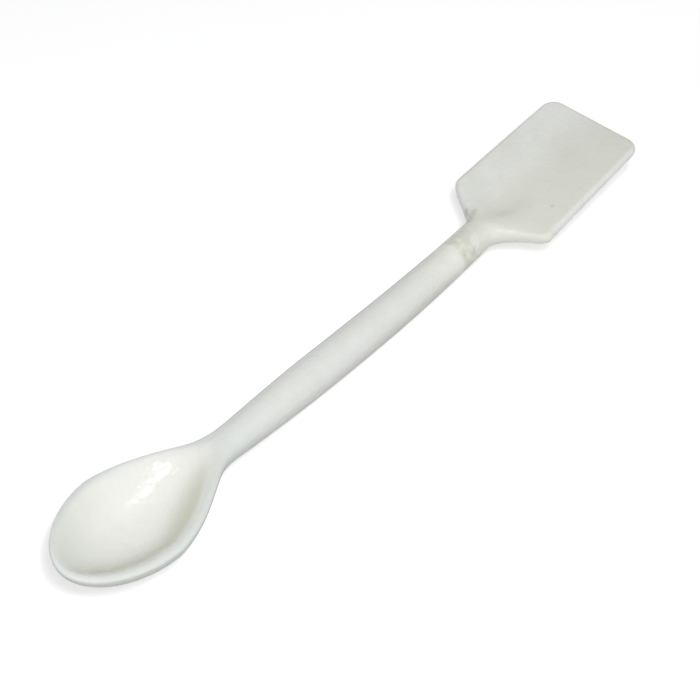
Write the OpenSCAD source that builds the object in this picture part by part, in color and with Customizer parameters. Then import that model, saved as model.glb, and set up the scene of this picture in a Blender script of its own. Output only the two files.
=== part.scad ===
// Porcelain spoon-spatula: a teardrop spoon bowl at one end of a round handle and a flat blade at
// the other, pressed and fired as one piece. It lies on the table as it would come to rest, on the
// bowl's underside and the handle's belly. Lengths are in millimetres. +X runs from the bowl to the
// blade and +Z is up. The origin is on the table, below the middle of the whole outline.

/* [Overall] */
// Length from the bowl's tip to the blade's end
overall_len = 150; // [135:1:190]

/* [Bowl] */
// Width of the bowl, over its rim
bowl_w = 24; // [18:0.2:29]
// Length from the tip to where the bowl's outline would close inside the handle
bowl_len = 41.5; // [34:0.5:50]
// Distance from the tip to the widest place of the bowl
bowl_widest = 17.5; // [13:0.5:22]
// Height of the rim's widest line above the table
rim_h = 6.7; // [5:0.1:9]
// Distance from the outline in to the crest of the rounded rim
crest_in = 1; // [0.8:0.1:1.6]
// Height of the crest over the rim's widest line
crest_h = 0.6; // [0.4:0.1:1]
// Thickness of the floor at the bowl's lowest place
floor_t = 1.9; // [1.6:0.1:3.2]

/* [Handle] */
// Diameter of the neck behind the bowl
bowl_neck_d = 6.1; // [5:0.1:8]
// Diameter at the thickest place
handle_d = 7.6; // [6:0.1:9]
// Diameter of the neck before the blade
blade_neck_d = 6.5; // [5:0.1:8]
// Distance from the tip to the thickest place
thickest_at = 67; // [58:1:80]
// Distance from the tip to the place where the handle's belly touches the table
belly_at = 84; // [80:1:98]
// How far the underside clears the table at the bowl neck
neck_lift = 1.9; // [0.6:0.1:3]

/* [Blade] */
// Length of the blade's straight sides, with its end corners
blade_len = 28; // [22:0.2:34]
// Length of the shoulders that widen from the neck to the blade
shoulder_len = 8.8; // [6:0.2:12]
// Width across the shoulders
blade_w = 23.8; // [18:0.2:29]
// Width at the end, without the corners
blade_end_w = 22; // [16:0.2:28]
// Thickness at the shoulders
heel_t = 2.4; // [1.8:0.1:3.2]
// Thickness near the end
end_t = 2; // [1.4:0.1:2.8]
// Radius of the end corner on the near side (-Y)
near_corner_r = 2.6; // [1.5:0.1:4.5]
// Radius of the end corner on the far side (+Y)
far_corner_r = 3; // [1.5:0.1:4.5]
// How far the blade's end lifts from the table, under its middle plane
end_lift = 5.6; // [0.5:0.1:7]

/* [Hidden] */

// where the stretches along the piece begin, and how long they are
blade_x = overall_len - blade_len;
shoulder_x = blade_x - shoulder_len;
neck_x = bowl_len + 0.5;
fade_x = bowl_len - 11.5;
fade_len = 17;
keel_len = neck_x + 4 - bowl_widest;
ridge_x = shoulder_x - 3;
ridge_len = shoulder_len + 8;
slab_len = 6;
slab_x = ridge_x - slab_len;
rise_len = 24;

// the hollow of the bowl, inside the rim's crest
hollow_deep = rim_h + crest_h - floor_t;
hollow_half = bowl_w / 2 - crest_in;
hollow_end = bowl_len - 2;

// how the hollow is filled out: a higher wall_power leaves the crest more softly, a higher
// floor_power makes the floor flatter, and a lower end_power keeps it deeper towards its ends
wall_power = 1.6;
floor_power = 1.4;
end_power = 1.4;

// how full the outlines and sections are: 2 is an ellipse, and less is more pointed
front_power = 1.9;
back_power = 1.54;
keel_power = 1.5;
under_power = 2;
belly_power = 2;
bowl_taper = 1.8;
blade_taper = 2;
union_power = 3;

// the soft hollow curve where the bowl's outline meets the handle's, and the blade's rounded end
blend_r = 2;
blend_len = 8;
end_round = 0.94;

// smoothness of the mesh
ring_n = 48;
tip_steps = 18;
bowl_steps = 22;
handle_steps = 18;
slab_steps = 5;
shoulder_steps = 14;
blade_steps = 6;
corner_steps = 8;
big_corner_r = max(near_corner_r, far_corner_r);

// ---- small helpers
function clamp01(u) = min(max(u, 0), 1);
function mix(a, b, t) = a + (b - a) * t;
function ease(u) = let (t = clamp01(u)) t * t * (3 - 2 * t);
function signed_pow(v, p) = sign(v) * pow(abs(v), p);
function dome(u) = sqrt(1 - u * u);

// ---- plan outlines
// half width of a teardrop that opens at x = tip, is widest at bowl_widest and closes at x = end;
// it is negative outside that length
function teardrop(x, tip, half, end) =
    x < bowl_widest
        ? half * signed_pow(1 - pow((bowl_widest - x) / (bowl_widest - tip), front_power), 1 / front_power)
        : half * (1 - pow((x - bowl_widest) / (end - bowl_widest), back_power));

// radius of the round handle
function handle_r(x) =
    let (
        to_bowl = clamp01((thickest_at - x) / (thickest_at - neck_x)),
        to_blade = clamp01((x - thickest_at) / (ridge_x - thickest_at))
    )
    handle_d / 2
        - (handle_d - bowl_neck_d) / 2 * pow(to_bowl, bowl_taper)
        - (handle_d - blade_neck_d) / 2 * pow(to_blade, blade_taper);

// half width of the blade on one side, with that side's rounded end corner
function blade_half(x, corner_r) =
    let (
        along = clamp01((x - blade_x) / blade_len),
        into = clamp01((x - overall_len + corner_r) / corner_r)
    )
    mix(blade_w, blade_end_w, along) / 2 - corner_r * (1 - dome(into));

// half width of the bowl and the handle, which run together in a soft hollow curve
function spoon_half(x) =
    let (
        bowl = teardrop(x, 0, bowl_w / 2, bowl_len),
        bar = handle_r(x),
        soft = blend_r * ease((x - bowl_widest) / blend_len)
    )
    x < bowl_widest ? bowl : (bowl + bar + sqrt(pow(bowl - bar, 2) + soft * soft)) / 2;

// half width of the whole piece on one side
function half_width(x, corner_r) =
    mix(spoon_half(x), blade_half(x, corner_r), ease((x - shoulder_x) / shoulder_len));

// ---- side view
// rise past the belly: it curves up over rise_len, and then runs straight along the blade
function rise(u) = u < rise_len ? u * u : rise_len * (2 * u - rise_len);

// clearance of the handle's underside over the table
function lift(x) =
    x < belly_at
        ? neck_lift * pow((belly_at - x) / (belly_at - neck_x), belly_power)
        : end_lift * rise(x - belly_at) / rise(overall_len - belly_at);

// share of the handle's round section in the section at x; the rest is the bowl's
function handle_share(x) = ease((x - fade_x) / fade_len);

// height of the handle's axis and of the blade's middle plane
function axis_h(x) = lift(x) + handle_r(x);

// height of the lowest line of the bowl
function keel_h(x) =
    x < bowl_widest
        ? rim_h * (1 - sqrt(1 - pow((bowl_widest - x) / bowl_widest, keel_power)))
        : lift(x) * ease((x - bowl_widest) / keel_len);

// half thickness of the flat slab, which grows out of the handle and is rounded at the end
function slab_half(x) =
    let (
        along = clamp01((x - blade_x) / blade_len),
        flat = mix(heel_t, end_t, along) / 2 * ease((x - slab_x) / slab_len),
        into = clamp01((x - overall_len + flat) / flat)
    )
    flat * dome(into * end_round);

// half height of the ridge in which the handle flattens out over the shoulders
function ridge_r(x) = handle_r(x) * (1 - ease((x - ridge_x) / ridge_len));

// ---- cross-sections, at y from the middle
// top of the bowl over the rim's widest line: the round rim up to its crest, and the hollow inside
function bowl_top(x, y, half) =
    let (hollow = teardrop(x, crest_in, hollow_half, hollow_end))
    abs(y) < hollow
        ? let (
              inside = (1 - pow(y / hollow, 2)) * pow(hollow / hollow_half, end_power),
              deep = pow(1 - pow(1 - inside, floor_power), wall_power)
          )
          crest_h - hollow_deep * deep
        : let (
              hollow_sq = sign(hollow) * hollow * hollow,
              over_rim = clamp01((half * half - y * y) / max(half * half - hollow_sq, 0.001))
          )
          crest_h * dome(1 - over_rim);

// depth of the bowl's underside below the rim's widest line
function bowl_under(x, y, half) =
    (rim_h - keel_h(x)) * sqrt(1 - pow(clamp01(abs(y) / half), under_power));

// half height of the handle's round section and the blade's flat one, run together
function bar_height(x, y, half) =
    let (
        slab = slab_half(x),
        edge = slab > 0 ? clamp01((abs(y) - half + slab) / slab) : 1,
        round = ridge_r(x) * dome(clamp01(abs(y) / half))
    )
    pow(pow(slab * dome(edge), union_power) + pow(round, union_power), 1 / union_power);

// heights of the top and of the underside over the table
function top_h(x, y, half) =
    mix(rim_h + bowl_top(x, y, half), axis_h(x) + bar_height(x, y, half), handle_share(x));
function under_h(x, y, half) =
    mix(rim_h - bowl_under(x, y, half), axis_h(x) - bar_height(x, y, half), handle_share(x));

// one closed ring of points: over the top from the far side, and back below
function ring(x) = [
    for (i = [0:ring_n - 1])
        let (
            turn = 360 * i / ring_n,
            half = half_width(x, cos(turn) > 0 ? far_corner_r : near_corner_r),
            y = half * cos(turn)
        )
        [x, y, i <= ring_n / 2 ? top_h(x, y, half) : under_h(x, y, half)]
];

// ---- stations along the piece, close together where the shape turns fastest
stations = concat(
    [for (i = [1:tip_steps]) bowl_widest * (1 - cos(90 * i / tip_steps))],
    [for (i = [1:bowl_steps]) mix(bowl_widest, fade_x + fade_len, i / bowl_steps)],
    [for (i = [1:handle_steps]) mix(fade_x + fade_len, slab_x, i / handle_steps)],
    [for (i = [1:slab_steps]) mix(slab_x, shoulder_x, i / slab_steps)],
    [for (i = [1:shoulder_steps]) mix(shoulder_x, blade_x + 1, i / shoulder_steps)],
    [for (i = [1:blade_steps]) mix(blade_x + 1, overall_len - big_corner_r, i / blade_steps)],
    [for (i = [1:corner_steps]) overall_len - big_corner_r * (1 - sin(90 * i / corner_steps))]
);

// a closed skin over the rings, with a point at the tip and a flat face at the end
module loft(tip, xs) {
    last = len(xs) - 1;
    points = concat([tip], [for (x = xs) each ring(x)]);
    function at(k, i) = 1 + k * ring_n + i % ring_n;
    faces = concat(
        [for (i = [0:ring_n - 1]) [0, at(0, i), at(0, i + 1)]],
        [for (k = [0:last - 1], i = [0:ring_n - 1]) [at(k, i), at(k + 1, i + 1), at(k, i + 1)]],
        [for (k = [0:last - 1], i = [0:ring_n - 1]) [at(k, i), at(k + 1, i), at(k + 1, i + 1)]],
        [[for (i = [0:ring_n - 1]) at(last, ring_n - 1 - i)]]
    );
    polyhedron(points, faces, convexity = 8);
}

// bowl, handle and blade in one body of white glazed porcelain
module spoon_spatula() {
    color("ghostwhite")
        translate([-overall_len / 2, 0, 0])
            loft([0, 0, rim_h], stations);
}

spoon_spatula();
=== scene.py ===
# %% [markdown]
# # A porcelain lab spatula
#
# A lab spatula of this kind is pressed from one lump of porcelain, dipped in clear glaze and fired: a
# teardrop spoon bowl at one end, a round handle, and a flat blade at the other end. This lesson makes
# its smooth glazed skin around a plain solid model, gives it a glaze, and lights it on a pale table.
#
# The solid model is loaded first. It is already at its real size and place, in metres, with +X along
# the handle from the bowl to the blade and +Z up. Its box is kept, and the overall length is read from
# it.

# %% Load the solid model
import math
from collections import namedtuple

import bmesh
import bpy
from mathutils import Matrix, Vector, noise


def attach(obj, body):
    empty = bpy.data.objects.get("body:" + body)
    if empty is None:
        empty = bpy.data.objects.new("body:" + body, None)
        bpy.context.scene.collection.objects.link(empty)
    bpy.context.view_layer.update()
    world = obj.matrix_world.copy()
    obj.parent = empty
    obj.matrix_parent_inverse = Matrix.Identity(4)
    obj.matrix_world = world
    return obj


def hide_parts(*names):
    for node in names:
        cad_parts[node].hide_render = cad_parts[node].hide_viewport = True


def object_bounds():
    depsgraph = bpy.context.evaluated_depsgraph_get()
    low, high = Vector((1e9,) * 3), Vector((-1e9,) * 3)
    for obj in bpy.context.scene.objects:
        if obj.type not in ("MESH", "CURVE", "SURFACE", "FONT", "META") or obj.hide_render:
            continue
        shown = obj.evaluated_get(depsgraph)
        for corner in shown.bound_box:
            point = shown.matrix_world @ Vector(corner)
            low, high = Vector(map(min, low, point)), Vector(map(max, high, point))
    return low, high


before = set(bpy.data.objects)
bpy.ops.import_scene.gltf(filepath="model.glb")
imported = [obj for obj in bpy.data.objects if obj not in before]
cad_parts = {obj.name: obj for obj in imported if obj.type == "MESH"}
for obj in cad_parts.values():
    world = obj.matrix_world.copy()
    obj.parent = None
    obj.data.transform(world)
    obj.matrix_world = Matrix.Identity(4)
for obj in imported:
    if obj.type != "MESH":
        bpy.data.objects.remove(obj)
cad_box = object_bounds()
print("solid model:", [round(v, 4) for corner in cad_box for v in corner])

# %% [markdown]
# ## Sizes in millimetres
#
# The skin has to follow the solid closely, so it is driven by the same few sizes. Everything in
# Blender is in metres, but 24 mm is easier to read than 0.024 m. So the shape is worked out in
# millimetres, measured from the bowl's tip, and a point is turned to metres when Blender gets it.
# Each size stands in the cell that first needs it, and the overall length comes from the solid.

# %% Where each stretch begins
MM = 0.001

overall_len = (cad_box[1].x - cad_box[0].x) / MM
bowl_len = 41.5
blade_len = 28.0
shoulder_len = 8.8

neck_x = bowl_len + 0.5
blade_x = overall_len - blade_len
shoulder_x = blade_x - shoulder_len
ridge_x = shoulder_x - 3.0

print("overall length:", round(overall_len, 2), "mm")
for name, x in (("neck", neck_x), ("shoulder", shoulder_x), ("blade", blade_x)):
    print("the", name, "begins at", round(x, 1), "mm")

# %% [markdown]
# ## Outlines as formulas
#
# The outline could be drawn point by point, but a pressed piece has long smooth curves, and a formula
# keeps them smooth at any number of points. It is built from a few small curves: a clamp, a mix of two
# values, a soft step from 0 to 1, a power that keeps its sign, and a quarter circle.

# %% Small curves
TINY = 0.001


def clamp01(u):
    return min(max(u, 0.0), 1.0)


def mix(a, b, t):
    return a + (b - a) * t


def ease(u):
    t = clamp01(u)
    return t * t * (3 - 2 * t)


def signed_pow(value, power):
    return math.copysign(abs(value) ** power, value)


def dome(u):
    return math.sqrt(max(1 - u * u, 0.0))


print("halfway through, ease gives", ease(0.5), "and dome gives", round(dome(0.5), 3))

# %% [markdown]
# ## The outline from above
#
# The bowl is a teardrop. In front of its widest place it is close to an ellipse, which would be a
# power of 2, and a little less than 2 makes its front more pointed. Behind that place its sides close
# in a slack curve towards the handle. The handle swells gently to its thickest place and thins again
# at both ends, and the blade narrows in a straight line.

# %% The bowl's outline
bowl_w = 24.0
bowl_widest = 17.5
front_power = 1.9
back_power = 1.54


def teardrop(x, tip, half, end):
    if x < bowl_widest:
        inside = 1 - ((bowl_widest - x) / (bowl_widest - tip)) ** front_power
        return half * signed_pow(inside, 1 / front_power)
    return half * (1 - ((x - bowl_widest) / (end - bowl_widest)) ** back_power)


print("bowl:", bowl_len, "by", bowl_w, "mm, widest", bowl_widest, "mm from its tip")

# %% The handle's outline
handle_d = 7.6
bowl_neck_d = 6.1
blade_neck_d = 6.5
thickest_at = 67.0
bowl_taper = 1.8
blade_taper = 2.0


def handle_r(x):
    to_bowl = clamp01((thickest_at - x) / (thickest_at - neck_x))
    to_blade = clamp01((x - thickest_at) / (ridge_x - thickest_at))
    thinner = (handle_d - bowl_neck_d) * to_bowl**bowl_taper
    thinner += (handle_d - blade_neck_d) * to_blade**blade_taper
    return (handle_d - thinner) / 2


print("handle:", bowl_neck_d, "mm at the bowl,", handle_d, "mm at its thickest")

# %% The blade's outline
blade_w = 23.8
blade_end_w = 22.0


def blade_half(x):
    return mix(blade_w, blade_end_w, clamp01((x - blade_x) / blade_len)) / 2


print("blade:", blade_w, "mm wide at its heel,", blade_end_w, "mm at its end")

# %% [markdown]
# ### Joining the outlines
#
# Where the bowl meets the handle, the wider of the two could be taken, but that leaves a sharp corner.
# A soft maximum rounds it: half the sum of the two, plus half their difference, with a small radius
# mixed into the difference. The shoulders of the blade are a soft step from one outline to the other.

# %% The whole outline
blend_r = 2.0
blend_len = 8.0


def spoon_half(x):
    bowl = teardrop(x, 0.0, bowl_w / 2, bowl_len)
    if x < bowl_widest:
        return bowl
    bar = handle_r(x)
    soft = blend_r * ease((x - bowl_widest) / blend_len)
    return (bowl + bar + math.hypot(bowl - bar, soft)) / 2


def half_width(x):
    return mix(spoon_half(x), blade_half(x), ease((x - shoulder_x) / shoulder_len))


for where in (bowl_widest, neck_x, thickest_at, blade_x):
    print("width at", round(where, 1), "mm:", round(2 * half_width(where), 1), "mm")

# %% [markdown]
# ## The side view
#
# Lying down, the spatula touches the table in two places: under the bowl, and under the handle's
# belly. Between them the neck arches clear. Past the belly the handle curves up for a short way, and
# then the blade rises in a straight line.

# %% Height of the handle
belly_at = 84.0
belly_power = 2.0
neck_lift = 1.9
rise_len = 24.0
end_lift = 5.6


def rise(u):
    return u * u if u < rise_len else rise_len * (2 * u - rise_len)


def lift(x):
    if x < belly_at:
        return neck_lift * ((belly_at - x) / (belly_at - neck_x)) ** belly_power
    return end_lift * rise(x - belly_at) / rise(overall_len - belly_at)


def axis_h(x):
    return lift(x) + handle_r(x)


print("under the handle:", neck_lift, "mm clear at the neck,", lift(belly_at), "mm at the belly")

# %% Height of the keel under the bowl
rim_h = 6.7
keel_power = 1.5
keel_len = neck_x + 4.0 - bowl_widest


def keel_h(x):
    if x < bowl_widest:
        along = (bowl_widest - x) / bowl_widest
        return rim_h * (1 - math.sqrt(max(1 - along**keel_power, 0.0)))
    return lift(x) * ease((x - bowl_widest) / keel_len)


for x in (0.0, 5.0, bowl_widest):
    print("the keel is", round(keel_h(x), 1), "mm up at", x, "mm")

# %% Thickness of the blade and of the ridge on it
heel_t = 2.4
end_t = 2.0
slab_len = 6.0
slab_x = ridge_x - slab_len
ridge_len = shoulder_len + 8.0


def slab_half(x):
    blade_t = mix(heel_t, end_t, clamp01((x - blade_x) / blade_len))
    return blade_t / 2 * ease((x - slab_x) / slab_len)


def ridge_r(x):
    return handle_r(x) * (1 - ease((x - ridge_x) / ridge_len))


print("the blade's end is", round(axis_h(overall_len) - end_t / 2, 1), "mm over the table")

# %% [markdown]
# ## The cross-sections
#
# Every section is a top height and an underside height over the table, at a distance y from the
# middle. In the bowl the top is a hollow inside a half-round rim. In the handle it is a circle, and in
# the blade a thin slab with round edges. Where one turns into the next, the two heights are mixed.
#
# The hollow is a smaller teardrop inside the bowl's. A number says how far a place is inside it, from
# 0 at its edge to 1 in the deepest part, and the depth follows from that number. The same number
# later tells the glaze where the hollow is.

# %% How far inside the hollow
crest_in = 1.0
end_power = 1.2
hollow_half = bowl_w / 2 - crest_in
hollow_end = bowl_len - 1.0


def inside_hollow(x, y):
    hollow = teardrop(x, crest_in, hollow_half, hollow_end)
    if abs(y) < hollow:
        return (1 - (y / hollow) ** 2) * (hollow / hollow_half) ** end_power
    return 0.0


print("inside the hollow, 3 mm from the middle:", round(inside_hollow(bowl_widest, 3.0), 3))

# %% Heights of the bowl
crest_h = 0.6
floor_t = 1.9
floor_power = 1.5
wall_power = 2.1
under_power = 2.0
hollow_deep = rim_h + crest_h - floor_t


def bowl_top(x, y, half):
    inside = inside_hollow(x, y)
    if inside > 0:
        return crest_h - hollow_deep * (1 - (1 - inside) ** floor_power) ** wall_power
    hollow = teardrop(x, crest_in, hollow_half, hollow_end)
    over_rim = clamp01((half * half - y * y) / max(half * half - hollow * abs(hollow), TINY))
    return crest_h * dome(1 - over_rim)


def bowl_under(x, y, half):
    return (rim_h - keel_h(x)) * math.sqrt(1 - clamp01(abs(y) / max(half, TINY)) ** under_power)


print("the hollow is", round(hollow_deep, 1), "mm deep, and its floor", floor_t, "mm thick")

# %% Heights of the handle and the blade
union_power = 3.0


def bar_height(x, y, half, from_edge):
    slab = slab_half(x)
    ridge = ridge_r(x)
    flat = slab * dome(1 - clamp01(from_edge / slab)) if slab > 0 else 0.0
    round_h = ridge * dome(clamp01(abs(y) / max(half, TINY)))
    return (flat**union_power + round_h**union_power) ** (1 / union_power)


end_half = bar_height(overall_len, 0.0, blade_end_w / 2, end_t)
print("the blade's end is", round(2 * end_half, 1), "mm thick")

# %% Heights of the whole piece
fade_x = bowl_len - 11.5
fade_len = 17.0


def handle_share(x):
    return ease((x - fade_x) / fade_len)


def top_h(x, y, half, from_edge):
    bar = axis_h(x) + bar_height(x, y, half, from_edge)
    return mix(rim_h + bowl_top(x, y, half), bar, handle_share(x))


def under_h(x, y, half, from_edge):
    bar = axis_h(x) - bar_height(x, y, half, from_edge)
    return mix(rim_h - bowl_under(x, y, half), bar, handle_share(x))


print("rim top at", round(top_h(bowl_widest, hollow_half + crest_in / 2, bowl_w / 2, 1.0), 2), "mm")

# %% [markdown]
# ## Spokes
#
# A skin made of rings across the handle would leave the bowl's rim cut up by the grid, and a rim shows
# every fault in a gloss glaze. So the grid follows the outline instead: loops run all round the piece,
# and spokes cross them from the outline to a spine along the middle. The spokes stand square to the
# handle along its length, and fan out round the bowl's tip and the blade's end. Each spoke knows three
# points: on the outline, on the inner edge of the rim or rounded edge, and on the spine.
#
# The two sides of a piece finished by hand are never quite alike. Here the near shoulder of the blade
# has a small swell that the far one lacks, so the near outline gets a low bump there.

# %% A swell on the near shoulder
near_swell = 0.8
swell_x = shoulder_x + 6.5
swell_reach = 2.4


def swell(x, side):
    if side > 0:
        return 0.0
    return near_swell * max(1 - ((x - swell_x) / swell_reach) ** 2, 0.0) ** 2


print("swell on the near shoulder:", swell(swell_x, -1), "mm at", round(swell_x, 1), "mm")

# %% One spoke
Spoke = namedtuple("Spoke", "outline inner spine")
least_rim = 0.2


def inner_half(x):
    half = half_width(x)
    rim = max(teardrop(x, crest_in, hollow_half, hollow_end), least_rim * half)
    return mix(rim, half - slab_half(x), ease((x - slab_x) / (blade_x - slab_x)))


def side_spoke(x, side):
    more = swell(x, side)
    outline = Vector((x, side * (half_width(x) + more)))
    inner = Vector((x, side * (inner_half(x) + more)))
    return Spoke(outline, inner, Vector((x, 0.0)))


print("a spoke at the widest place:", [tuple(point) for point in side_spoke(bowl_widest, 1)])

# %% Spokes along the sides
fan_x = overall_len - blade_w / 2
heel_x = blade_x + 3.0
stretches = (
    (bowl_widest, fade_x + fade_len, 46),
    (fade_x + fade_len, slab_x, 36),
    (slab_x, heel_x, 44),
    (heel_x, fan_x, 8),
)

near_side = []
far_side = []
for start, end, steps in stretches:
    for i in range(steps):
        x = mix(start, end, i / steps)
        near_side.append(side_spoke(x, -1))
        far_side.append(side_spoke(x, 1))
print(len(near_side), "spokes along each side")

# %% Spokes round the bowl's tip
tip_steps = 64
centre = Vector((bowl_widest, 0.0))


def on_oval(turn, length, half):
    along = math.sin(turn) ** (2 / front_power)
    across = signed_pow(math.cos(turn), 2 / front_power)
    return Vector((bowl_widest - length * along, half * across))


tip_fan = []
for i in range(1, tip_steps):
    turn = math.pi * i / tip_steps
    outline = on_oval(turn, bowl_widest, bowl_w / 2)
    tip_fan.append(Spoke(outline, on_oval(turn, bowl_widest - crest_in, hollow_half), centre))
print(len(tip_fan), "spokes round the tip")

# %% [markdown]
# ### The blade's end
#
# The end is a straight edge between two rounded corners, and the far corner is a little rounder than
# the near one. Each half of the fan has three runs of spokes: a short run up the side, a quarter
# circle round the corner, and a run along the edge to the middle. All of them point at one centre.

# %% Spokes round the blade's end
near_corner_r = 2.6
far_corner_r = 3.0
side_steps = 5
corner_steps = 12
edge_steps = 7
fan_centre = Vector((fan_x, 0.0))


def end_spoke(x, y, inward):
    outline = Vector((x, y))
    return Spoke(outline, outline + inward * slab_half(x), fan_centre)


def end_fan(side, corner_r):
    fan = []
    for i in range(side_steps):
        x = mix(fan_x, overall_len - corner_r, i / side_steps)
        fan.append(end_spoke(x, side * blade_half(x), Vector((0.0, -side))))
    for i in range(corner_steps):
        turn = math.pi / 2 * i / corner_steps
        x = overall_len - corner_r * (1 - math.sin(turn))
        y = blade_half(x) - corner_r * (1 - math.cos(turn))
        fan.append(end_spoke(x, side * y, Vector((-math.sin(turn), -side * math.cos(turn)))))
    straight = blade_half(overall_len) - corner_r
    for i in range(edge_steps):
        y = side * straight * (1 - i / edge_steps)
        fan.append(end_spoke(overall_len, y, Vector((-1.0, 0.0))))
    return fan


middle_of_end = end_spoke(overall_len, 0.0, Vector((-1.0, 0.0)))
near_end = end_fan(-1, near_corner_r)
far_end = end_fan(1, far_corner_r)
spokes = tip_fan + near_side + near_end + [middle_of_end] + far_end[::-1] + far_side[::-1]
print(len(spokes), "spokes in all")

# %% [markdown]
# ## The skin
#
# The mesh starts as one circle with a point for each spoke, moved onto the outline. Its edges are then
# extruded inward, loop by loop, once over the top and once below, and every new loop is moved along
# its spokes to its own height. The loops lie close together where the surface turns fast: on the
# outline itself and on both sides of the rim's inner edge. The last loop of each skin lies on the
# spine, where opposite points meet and are merged, so the skin closes.
#
# Two small departures keep the piece from looking turned on a machine. The bowl's tip leans a little
# to the near side, and a slow noise pulls the surface in by up to 1 in 100, never out.

# %% Place a point on a spoke
edge_loops = 12
inner_loops = 14
tip_lean = 0.35
lean_power = 1.5
uneven = 0.004
width_lumps = 14
height_lumps = 11
height_layer = 40.0


def lean(x):
    return tip_lean * clamp01(1 - x / bowl_widest) ** lean_power


def swing(loop):
    return math.cos(math.pi * min(loop, edge_loops) / edge_loops)


def pulled_in(point, layer, lumps):
    return 1 - uneven * (1 + noise.noise(Vector((point.x, point.y, layer)) / lumps))


def place(number, loop, height):
    spoke = spokes[number]
    turn = math.pi / 2 * max(loop - edge_loops, 0) / inner_loops
    point = spoke.outline.lerp(spoke.inner, (1 - swing(loop)) / 2)
    point = point.lerp(spoke.spine, 1 - math.cos(turn))
    from_edge = (point - spoke.outline).length
    z = height(point.x, point.y, half_width(point.x), from_edge)
    z *= pulled_in(point, height_layer, height_lumps)
    y = point.y * pulled_in(point, 0.0, width_lumps) - lean(point.x)
    return Vector((point.x - overall_len / 2, y, z)) * MM


print("a point in the hollow:", [round(v, 4) for v in place(40, 20, top_h)])

# %% [markdown]
# ### What the skin tells the glaze
#
# A glaze can be painted by place alone, but a rim or a hollow is no simple place: it follows the
# outline. So every point of the mesh carries two numbers of its own, as attributes. "hollow" is how
# far inside the hollow it is, and "edge" is 1 on the outline and falls to 0 at the inner edge of the
# rim. A third, whole number is only for the making: it says which spoke a point slides along.

# %% Extrude the loops
def extrude_skin(bm, edges, number_of, inside_of, edge_of, height):
    for loop in range(1, edge_loops + inner_loops + 1):
        made = bmesh.ops.extrude_edge_only(bm, edges=edges)["geom"]
        verts = {item for item in made if isinstance(item, bmesh.types.BMVert)}
        made_edges = [item for item in made if isinstance(item, bmesh.types.BMEdge)]
        edges = [edge for edge in made_edges if set(edge.verts) <= verts]
        for vert in verts:
            vert.co = place(vert[number_of], loop, height)
            x, y, _ = vert.co / MM
            vert[inside_of] = inside_hollow(x + overall_len / 2, y) if height is top_h else 0.0
            vert[edge_of] = (1 + swing(loop)) / 2


print(edge_loops + inner_loops, "loops over the top, and as many below")

# %% [markdown]
# ### The same skin every time
#
# The two halves share the outline, and each folds onto the spine, so points that fall together are
# merged there and the skin is closed. An extrusion makes its edges and faces in an order that can
# change from run to run. The shape is the same, but its file would not be, so both are sorted by the
# points that they join.

# %% Make the skin
merge_gap = 1e-3 * MM


def put_in_order(bm):
    bm.verts.index_update()
    many = len(bm.verts)

    def by_points(item):
        key = 0
        for index in sorted(vert.index for vert in item.verts)[:3]:
            key = key * many + index
        return key

    bm.edges.sort(key=by_points)
    bm.faces.sort(key=by_points)


def make_skin():
    bm = bmesh.new()
    number_of = bm.verts.layers.int.new("spoke")
    inside_of = bm.verts.layers.float.new("hollow")
    edge_of = bm.verts.layers.float.new("edge")
    made = bmesh.ops.create_circle(bm, cap_ends=False, segments=len(spokes), radius=1.0)
    for number, vert in enumerate(made["verts"]):
        vert[number_of] = number
        vert.co = place(number, 0, top_h)
        vert[edge_of] = 1.0
    outline_edges = bm.edges[:]
    extrude_skin(bm, outline_edges, number_of, inside_of, edge_of, top_h)
    extrude_skin(bm, outline_edges, number_of, inside_of, edge_of, under_h)
    bmesh.ops.remove_doubles(bm, verts=bm.verts, dist=merge_gap)
    bmesh.ops.recalc_face_normals(bm, faces=bm.faces)
    put_in_order(bm)
    for face in bm.faces:
        face.smooth = True
    mesh = bpy.data.meshes.new("porcelain_spatula")
    bm.to_mesh(mesh)
    open_edges = sum(not edge.is_manifold for edge in bm.edges)
    print(len(bm.faces), "faces,", open_edges, "open edges")
    print("volume:", round(bm.calc_volume() / MM**3), "cubic mm")
    bm.free()
    return mesh


spatula = bpy.data.objects.new("porcelain_spatula", make_skin())
bpy.context.collection.objects.link(spatula)
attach(spatula, "root")
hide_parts("spoon_spatula")

# %% [markdown]
# ## The glaze
#
# Porcelain is a white body under a thin clear glass, so it is pale, smooth and glossy. This piece has
# been used: the bowl has stayed whiter than the blade, the neck before the blade has a beige stain,
# and there are a few brown marks under the glaze. One flat white would look like plastic, so the
# colour is built up in layers, each one a blend of the colour so far with one more tone. Some layers
# are painted light and shade: pale edges and a pale far side, shade on the bowl's near wall and at
# its tip, and a few dark strokes at the neck.
#
# Everything is laid out in object coordinates, in metres from the middle of the piece, so it stays
# where it is when the piece moves. Most layers start as a soft step: a value such as the distance
# along the piece goes from one level to another as it crosses a reach.

# %% Nodes
def new_material(name):
    material = bpy.data.materials.new(name)
    material.use_nodes = True
    tree = material.node_tree
    return material, tree, tree.nodes["Principled BSDF"]


def add(tree, kind, inputs=(), **settings):
    made = tree.nodes.new("ShaderNode" + kind)
    for name, value in settings.items():
        setattr(made, name, value)
    for slot, value in inputs:
        if isinstance(value, bpy.types.NodeSocket):
            tree.links.new(value, made.inputs[slot])
        else:
            made.inputs[slot].default_value = value
    return made


glaze, tree, shader = new_material("white_glaze")
coords = add(tree, "TexCoord").outputs["Object"]
across = add(tree, "SeparateXYZ", ((0, coords),)).outputs
print("glaze material started")

# %% Soft steps, grain and blends
rising = (0.0, 1.0)
falling = (1.0, 0.0)


def stretch(tree, value, reach, levels):
    pairs = ((0, value), (1, reach[0]), (2, reach[1]), (3, levels[0]), (4, levels[1]))
    return add(tree, "MapRange", pairs, interpolation_type="SMOOTHSTEP").outputs[0]


def grain(tree, coords, scale, detail=3.0):
    pairs = (("Vector", coords), ("Scale", scale), ("Detail", detail))
    return add(tree, "TexNoise", pairs).outputs["Fac"]


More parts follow.
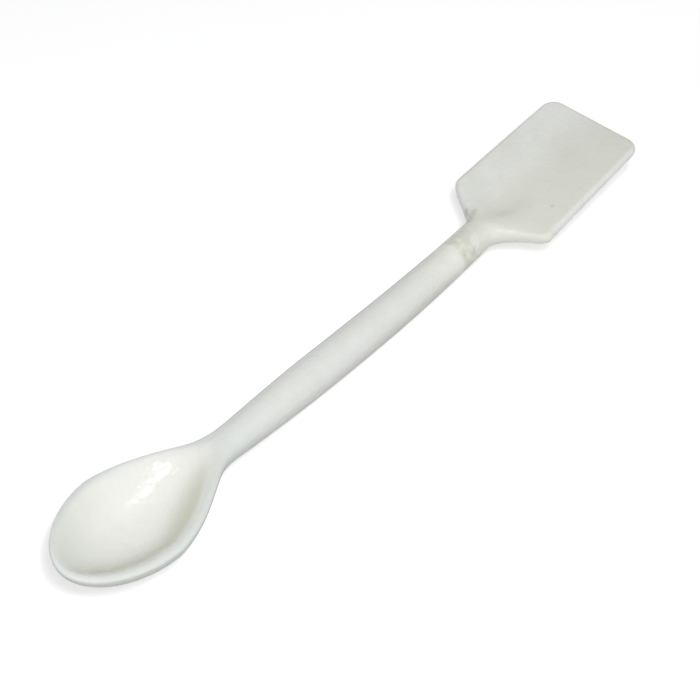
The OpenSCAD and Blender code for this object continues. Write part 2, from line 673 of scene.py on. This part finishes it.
def blend(tree, share, colour_a, colour_b):
    pairs = ((0, share), (6, colour_a), (7, colour_b))
    return add(tree, "Mix", pairs, data_type="RGBA").outputs[2]


def times(tree, a, b):
    return add(tree, "Math", ((0, a), (1, b)), operation="MULTIPLY").outputs[0]


def larger(tree, a, b):
    return add(tree, "Math", ((0, a), (1, b)), operation="MAXIMUM").outputs[0]


print("a soft step rises from", rising[0], "to", rising[1])

# %% [markdown]
# ### Colour along the body
#
# From the tip to the blade the body goes from a cool white to a warm one. Its palest band, on the
# neck before the blade, and the blade's darkening towards its end are painted light. A colour ramp
# along X holds these tones. Two layers follow at once. From the middle of the bowl on, the far side
# is whiter than the near one, as painted light, and cloudy patches of a duller tone, about 8 mm
# across, keep every part from being even.

# %% Colour along the body
body_reach = (-0.075, 0.075)
tones = (
    (0.0, (0.79, 0.83, 0.79)),
    (0.22, (0.80, 0.83, 0.80)),
    (0.32, (0.86, 0.875, 0.845)),
    (0.50, (0.87, 0.88, 0.85)),
    (0.70, (0.875, 0.885, 0.835)),
    # painted light: from this pale stop on the neck the tone falls towards the blade's end
    (0.78, (0.965, 0.965, 0.90)),
    (0.88, (0.905, 0.91, 0.805)),
    (1.0, (0.855, 0.86, 0.785)),
)

body = add(tree, "ValToRGB", ((0, stretch(tree, across["X"], body_reach, rising)),))
while len(body.color_ramp.elements) < len(tones):
    body.color_ramp.elements.new(0.5)
for element, (position, tone) in zip(body.color_ramp.elements, tones):
    element.position = position
    element.color = (*tone, 1)
print(len(tones), "tones along the body")

# %% Painted light on the far side, and cloudy patches
painted_far_light = (0.96, 0.97, 0.92, 1)
far_light_across = (-0.003, 0.007)
far_light_along = (-0.060, -0.045)
cloud_tone = (0.80, 0.80, 0.70, 1)
cloud_scale = 130.0

# painted light: the far side is whitened from the middle of the bowl on
far_light_share = times(
    tree,
    stretch(tree, across["Y"], far_light_across, rising),
    stretch(tree, across["X"], far_light_along, rising),
)
colour = blend(tree, far_light_share, body.outputs[0], painted_far_light)
cloudy = stretch(tree, grain(tree, coords, cloud_scale), (0.42, 0.68), (0.0, 0.3))
colour = blend(tree, cloudy, colour, cloud_tone)
print("patches about", round(1000 / cloud_scale, 1), "mm across")

# %% [markdown]
# ### Painted light on the edges
#
# The edges are painted paler, as painted light and painted reflection of the pale room on their
# rounded glaze. The "edge" attribute says where that is. It is strongest on the far side and all
# round the blade, and weaker at the bowl's very tip.

# %% Painted light along the edges
painted_edge_light = (0.97, 0.99, 0.975, 1)
far_half = (-0.004, 0.002)
blade_along = (0.044, 0.050)
tip_along = (-0.0747, -0.0705)

edge = add(tree, "Attribute", attribute_name="edge").outputs["Fac"]
edge = stretch(tree, edge, (0.1, 0.8), (0.0, 0.85))
paler = larger(
    tree,
    stretch(tree, across["Y"], far_half, rising),
    stretch(tree, across["X"], blade_along, rising),
)
paler = larger(tree, paler, stretch(tree, across["X"], tip_along, (0.4, 0.0)))
# painted light: the edges are blended towards near white
colour = blend(tree, times(tree, edge, paler), colour, painted_edge_light)
print("paler edges on the blade from", blade_along[0] / MM, "mm past the middle")

# %% [markdown]
# ### The hollow
#
# The inside of the bowl is cleaner and whiter than its outside. Towards the tip it is left darker,
# as painted shade on the tip's wall. The "hollow" attribute is 0 outside and grows inwards, so a
# short step on it whitens the whole hollow and stops on the rim's inner edge. Where the near wall
# meets the floor, the glaze is painted darker and warmer: painted shade, where the wall turns away
# from the key. That is a band of the same attribute, kept to the near half.

# %% A whiter hollow, with painted shade towards the tip
tip_painted_shade = (0.79, 0.805, 0.755, 1)
hollow_white = (0.91, 0.915, 0.865, 1)

hollow = add(tree, "Attribute", attribute_name="hollow").outputs["Fac"]
from_tip = stretch(tree, across["X"], (-0.073, -0.055), rising)
# painted shade: towards the tip the hollow keeps a darker tone
white = blend(tree, from_tip, tip_painted_shade, hollow_white)
colour = blend(tree, stretch(tree, hollow, (0.0, 0.25), rising), colour, white)
print("hollow whitened")

# %% Painted shade, dark and warm, at the foot of the near wall
painted_wall_shade = (0.72, 0.73, 0.57, 1)
near_wall_shade_along = (-0.065, -0.045)
near_wall_shade_levels = (0.95, 0.65)

shaded_wall_band = times(
    tree,
    stretch(tree, hollow, (0.12, 0.34), rising),
    stretch(tree, hollow, (0.40, 0.90), falling),
)
near_half = stretch(tree, across["Y"], (-0.0045, 0.0015), falling)
near_wall_shade = times(tree, shaded_wall_band, near_half)
near_wall_shade = times(tree, near_wall_shade, stretch(tree, across["X"], near_wall_shade_along, near_wall_shade_levels))
# painted shade: the foot of the near wall is darkened and warmed
colour = blend(tree, near_wall_shade, colour, painted_wall_shade)
print("near wall tinted, from", near_wall_shade_levels[0], "at the tip to", near_wall_shade_levels[1], "behind")

# %% Fine mottling
mottle_tone = (0.76, 0.76, 0.70, 1)
mottle_scale = 420.0

mottle = stretch(tree, grain(tree, coords, mottle_scale), (0.4, 0.7), (0.0, 0.12))
colour = blend(tree, mottle, colour, mottle_tone)
print("mottling about", round(1000 / mottle_scale, 1), "mm across")

# %% [markdown]
# ### The stain
#
# In use, something has dried and burnt on at the neck before the blade. The stain starts sharply and
# fades away towards the blade, so it has one short step and one long one. A grain with more detail
# than the others breaks it into blotches.

# %% Stain on the neck
stain_beige = (0.64, 0.63, 0.46, 1)
stain_start = (0.0300, 0.0312)
stain_fade = (0.0320, 0.0410)
stain_depth = 0.55

stained = times(
    tree,
    stretch(tree, across["X"], stain_start, rising),
    stretch(tree, across["X"], stain_fade, falling),
)
blotchy = stretch(tree, grain(tree, coords, 560.0, 4.0), (0.36, 0.64), (0.15, 1.0))
stained = times(tree, times(tree, stained, blotchy), stain_depth)
colour = blend(tree, stained, colour, stain_beige)
print("stain from", stain_start[0] / MM, "to", stain_fade[1] / MM, "mm past the middle")

# %% [markdown]
# ### Marks under the glaze, and painted shade
#
# Specks of iron in the clay burn to small brown smears under the glaze. A few strokes of the same
# brown are painted shade: along the neck's far edge, in the valley where the handle's ridge runs
# into the blade, and in the crease where the neck meets the far shoulder, which is partly grime and
# partly painted shade. They could be dots of a noise texture, but then nobody chooses where they
# are. Here each mark is a stroke between two points on the top of the neck or the blade, and its
# colour depends on the distance to the nearest point of that stroke. The place is first shaken by a
# fine colour noise, which makes the strokes ragged.
#
# A mark has a start and an end, in mm from the bowl's tip and from the middle, a radius and a depth.

# %% Where the marks are
marks_and_shade_at = (
    ((126.7, -7.6), (126.9, -7.5), 0.5, 0.20),
    # painted shade: a soft dark band where the handle's ridge runs into the blade
    ((118.4, -1.1), (120.8, -2.2), 1.8, 0.16),
    ((117.0, -0.3), (124.0, -3.0), 3.0, 0.08),
    ((106.5, -2.6), (106.5, -2.5), 0.6, 0.40),
    ((108.2, -3.0), (108.8, -2.8), 1.2, 0.25),
    # painted shade along the neck's far edge
    ((105.5, 2.8), (112.5, 2.9), 1.2, 0.40),
    # the crease at the far shoulder: partly grime, partly painted shade
    ((113.2, 2.4), (113.6, 2.7), 1.1, 0.75),
    ((113.5, 2.6), (115.9, 4.9), 1.2, 0.38),
    ((113.6, 2.3), (116.2, 3.2), 1.3, 0.30),
)


def on_top(x, y):
    half = half_width(x)
    return Vector((x - overall_len / 2, y, top_h(x, y, half, half - abs(y)))) * MM


print(len(marks_and_shade_at), "marks, the first at", [round(v, 4) for v in on_top(*marks_and_shade_at[0][0])])

# %% One stroke
def vector_math(tree, operation, *vectors):
    return add(tree, "VectorMath", enumerate(vectors), operation=operation).outputs


def stroke(tree, place, start, end, radius, depth):
    run = end - start
    along = vector_math(tree, "SUBTRACT", place, start)["Vector"]
    share = vector_math(tree, "DOT_PRODUCT", along, run / run.length_squared)["Value"]
    clamped = add(tree, "Math", ((0, share), (1, 1.0)), operation="MULTIPLY", use_clamp=True)
    nearest = vector_math(tree, "MULTIPLY_ADD", run, clamped.outputs[0], start)["Vector"]
    away = vector_math(tree, "DISTANCE", place, nearest)["Value"]
    return stretch(tree, away, (0.0, radius), (depth, 0.0))


print("a stroke fades from its depth to nothing over its radius")

# %% Marks under the glaze and painted shade
brown_marks_and_shade = (0.27, 0.26, 0.17, 1)
shake_scale = 900.0
shake = 0.0012

swirl = add(tree, "TexNoise", (("Vector", coords), ("Scale", shake_scale))).outputs["Color"]
swirl = vector_math(tree, "SUBTRACT", swirl, (0.5, 0.5, 0.5))["Vector"]
ragged = vector_math(tree, "MULTIPLY_ADD", swirl, (shake, shake, shake), coords)["Vector"]
marks = 0.0
for start, end, radius, depth in marks_and_shade_at:
    mark = stroke(tree, ragged, on_top(*start), on_top(*end), radius * MM, depth)
    marks = larger(tree, marks, mark)
# real marks and painted shade share one brown
colour = blend(tree, marks, colour, brown_marks_and_shade)
tree.links.new(colour, shader.inputs["Base Color"])
print("marks shaken by up to", shake / 2 / MM, "mm")

# %% [markdown]
# ### Gloss and ripple
#
# Fresh glaze is a mirror. On this one wear has dulled small patches, so a highlight breaks up into
# speckles: a grain switches the roughness between nearly smooth and dull. The surface is not quite
# flat either. It has a long low wave left by the hand, and on it the fine ripple called orange peel.
# Both are bump, because they are a few hundredths of a millimetre deep and never show in the outline.

# %% Gloss and ripple
dull_scale = 420.0
gloss_reach = (0.48, 0.6)
smooth_to_dull = (0.03, 0.25)
bump_deep = 0.0001
ripple_scale = 1300.0
wave_scale = 240.0


def bump(tree, height, *below):
    pairs = (("Height", height), ("Strength", 1.0), ("Distance", bump_deep), *below)
    return add(tree, "Bump", pairs).outputs[0]


shader.inputs["IOR"].default_value = 1.5
gloss = stretch(tree, grain(tree, coords, dull_scale), gloss_reach, smooth_to_dull)
tree.links.new(gloss, shader.inputs["Roughness"])
ripple = bump(tree, grain(tree, coords, ripple_scale, 2.0))
wave = bump(tree, grain(tree, coords, wave_scale, 1.0), ("Normal", ripple))
tree.links.new(wave, shader.inputs["Normal"])
spatula.data.materials.append(glaze)
print(len(tree.nodes), "nodes in the glaze")

# %% [markdown]
# ## The table
#
# The table is a sheet of white paper, far larger than the piece. Light alone would leave it grey in
# some places and white in others, so most of its white is its own: it glows, but only for rays that
# come from the camera. The rest is plain paper, which takes the lamps' light and the piece's shadow.
#
# The glossy sides of the piece mirror the table too, and would show it grey. So gloss sees the glow as
# well, but only where the table is clear of the shadow close to the piece: some way beside it, past
# its tip, and under the raised blade.

# %% The table's shape
floor_half = 3.0


def make_floor():
    mesh = bpy.data.meshes.new("floor")
    bm = bmesh.new()
    bmesh.ops.create_grid(bm, x_segments=1, y_segments=1, size=floor_half)
    bm.to_mesh(mesh)
    bm.free()
    floor = bpy.data.objects.new("floor", mesh)
    bpy.context.collection.objects.link(floor)
    return floor


floor = make_floor()
print("table:", 2 * floor_half, "m square")

# %% The table's paper
paper_grey = (0.65, 0.65, 0.65, 1)
paper_glow = 0.61
beside_across = (0.014, 0.024)
tip_beyond = (-0.090, -0.078)
blade_above = (0.030, 0.045)

paper, tree, shader = new_material("white_paper")
shader.inputs["Base Color"].default_value = paper_grey
shader.inputs["Roughness"].default_value = 1.0
shader.inputs["Specular IOR Level"].default_value = 0.0
shader.inputs["Emission Color"].default_value = (1, 1, 1, 1)
rays = add(tree, "LightPath").outputs
spot = add(tree, "SeparateXYZ", ((0, add(tree, "TexCoord").outputs["Object"]),)).outputs
from_middle = add(tree, "Math", ((0, spot["Y"]),), operation="ABSOLUTE").outputs[0]
beside = stretch(tree, from_middle, beside_across, rising)
past_tip = stretch(tree, spot["X"], tip_beyond, falling)
under_blade = stretch(tree, spot["X"], blade_above, rising)
clear = larger(tree, beside, larger(tree, past_tip, under_blade))
seen = larger(tree, rays["Is Camera Ray"], times(tree, rays["Is Glossy Ray"], clear))
tree.links.new(times(tree, seen, paper_glow), shader.inputs["Emission Strength"])
floor.data.materials.append(paper)
print("paper glow:", paper_glow)

# %% [markdown]
# ## The camera
#
# The camera looks down at the table from in front and from the bowl's side, half turned, so that the
# hollow, the handle and the blade all show. It is placed from two angles and a distance, not by
# coordinates: the angles give the way it looks, and it backs off along that way. A long lens from
# 600 mm keeps the bowl from looking too large beside the blade.

# %% Camera
elevation = math.radians(45.2)
turn = math.radians(49.7)
distance = 600.0 * MM
target = Vector((0.0, 0.0, 3.0)) * MM
aim_right = 0.654
aim_up = 0.372

right = Vector((math.cos(turn), -math.sin(turn), 0.0))
ahead = Vector(
    (
        math.sin(turn) * math.cos(elevation),
        math.cos(turn) * math.cos(elevation),
        -math.sin(elevation),
    )
)
aim = target + (aim_right * right + aim_up * right.cross(ahead)) * MM

camera = bpy.data.objects.new("camera", bpy.data.cameras.new("camera"))
camera.data.sensor_width = 36.0
camera.data.lens = 167.7
camera.location = aim - distance * ahead
camera.rotation_euler = ahead.to_track_quat("-Z", "Y").to_euler()
bpy.context.collection.objects.link(camera)
bpy.context.scene.camera = camera
print("camera at", [round(v, 3) for v in camera.location])

# %% [markdown]
# ## The lamps
#
# Glaze needs two kinds of light. Its body needs broad soft light, and its surface needs something
# small and bright to mirror. One lamp can't be both: a broad one mirrors as a white sheet that hides
# the hollow. So the broad key is left out of reflections, and a small narrow tube close to it is there
# for the highlight in the bowl. A large faint fill from beyond the tip softens the shadows.
#
# All three aim at the middle of the bowl. A place is given as a direction from there and a distance.

# %% Lamps
bowl_middle = Vector((-50.0, 0.0, 5.0)) * MM


def direction(turn, up):
    turn, up = math.radians(turn), math.radians(up)
    return Vector((math.cos(turn) * math.cos(up), math.sin(turn) * math.cos(up), math.sin(up)))


def area_light(name, way, distance, width, height, power):
    data = bpy.data.lights.new(name, "AREA")
    data.shape = "RECTANGLE"
    data.size = width
    data.size_y = height
    data.energy = power
    lamp = bpy.data.objects.new(name, data)
    lamp.location = bowl_middle + distance * way
    lamp.rotation_euler = (bowl_middle - lamp.location).to_track_quat("-Z", "Y").to_euler()
    bpy.context.collection.objects.link(lamp)
    print(name + ":", power, "W at", [round(v, 3) for v in lamp.location])
    return lamp


key_way = Vector((-0.172, -0.465, 0.868))
fill_way = Vector((-0.93, 0.05, 0.36))
key = area_light("key", key_way, distance=0.42, width=0.16, height=0.16, power=0.99)
key.visible_glossy = False
area_light("tube", direction(253.5, 63.3), distance=0.41, width=0.036, height=0.010, power=0.22)
area_light("fill", fill_way, distance=0.5, width=0.3, height=0.3, power=0.3)

# %% [markdown]
# ## The room
#
# The rest of the light comes from the world, a pale and slightly cool room. It lights the piece only
# weakly, so that the lamps still shape it, but gloss mirrors it nearly white, as a glaze does in a
# pale room. Seen straight past the table's edge it is plain white.

# %% World
room_white = (0.97, 0.99, 1.0, 1)
lit_and_mirrored = (0.21, 0.9)

world = bpy.data.worlds.new("studio")
world.use_nodes = True
tree = world.node_tree
sky = tree.nodes["Background"].inputs
sky["Color"].default_value = room_white
rays = add(tree, "LightPath").outputs
mirrored = stretch(tree, rays["Is Glossy Ray"], rising, lit_and_mirrored)
tree.links.new(larger(tree, mirrored, rays["Is Camera Ray"]), sky["Strength"])
bpy.context.scene.world = world
bpy.context.scene.view_settings.view_transform = "Standard"
print("the room lights at", lit_and_mirrored[0], "and is mirrored at", lit_and_mirrored[1])
